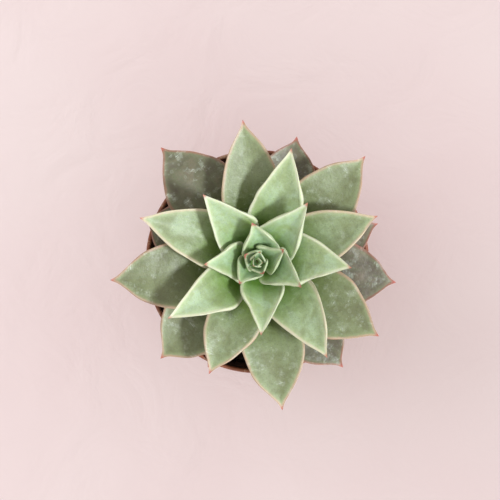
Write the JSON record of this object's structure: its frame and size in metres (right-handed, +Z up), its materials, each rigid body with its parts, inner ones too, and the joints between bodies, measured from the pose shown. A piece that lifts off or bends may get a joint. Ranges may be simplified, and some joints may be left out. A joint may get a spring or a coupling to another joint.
{
  "type": "potted succulent",
  "caption": "Rosette succulent with thick pointed leaves spiralling round a short stem, growing in soil in a tapered round nursery pot with a collared rim and drainage holes.",
  "frame": {"origin": "middle of the pot's underside, on the flat pad that it stands on", "axes": "+Z up along the pot's axis and the stem; -Y towards a viewer in front; the rosette has no front, and leaf 20 points along +X"},
  "size_m": [0.1065, 0.1074, 0.1067],
  "materials": {
    "pot_plastic": "satin terracotta-brown polypropylene with faint mineral marks",
    "soil": null,
    "stem_bark": "dry brown bark with leaf scars",
    "leaf_flesh": null
  },
  "bodies": {
    "root": {"pot": "pot_plastic", "soil": "soil", "stem": "stem_bark", "leaf_01": "leaf_flesh", "leaf_02": "leaf_flesh", "leaf_03": "leaf_flesh", "leaf_04": "leaf_flesh", "leaf_05": "leaf_flesh", "leaf_06": "leaf_flesh", "leaf_07": "leaf_flesh", "leaf_08": "leaf_flesh", "leaf_09": "leaf_flesh", "leaf_10": "leaf_flesh", "leaf_11": "leaf_flesh", "leaf_12": "leaf_flesh", "leaf_13": "leaf_flesh", "leaf_14": "leaf_flesh", "leaf_15": "leaf_flesh", "leaf_16": "leaf_flesh", "leaf_17": "leaf_flesh", "leaf_18": "leaf_flesh", "leaf_19": "leaf_flesh", "leaf_20": "leaf_flesh", "leaf_21": "leaf_flesh", "leaf_22": "leaf_flesh", "leaf_23": "leaf_flesh", "leaf_24": "leaf_flesh", "leaf_25": "leaf_flesh", "leaf_26": "leaf_flesh", "leaf_27": "leaf_flesh", "leaf_28": "leaf_flesh", "leaf_29": "leaf_flesh", "leaf_30": "leaf_flesh", "leaf_31": "leaf_flesh", "leaf_32": "leaf_flesh", "leaf_33": "leaf_flesh"}
  },
  "joints": []
}
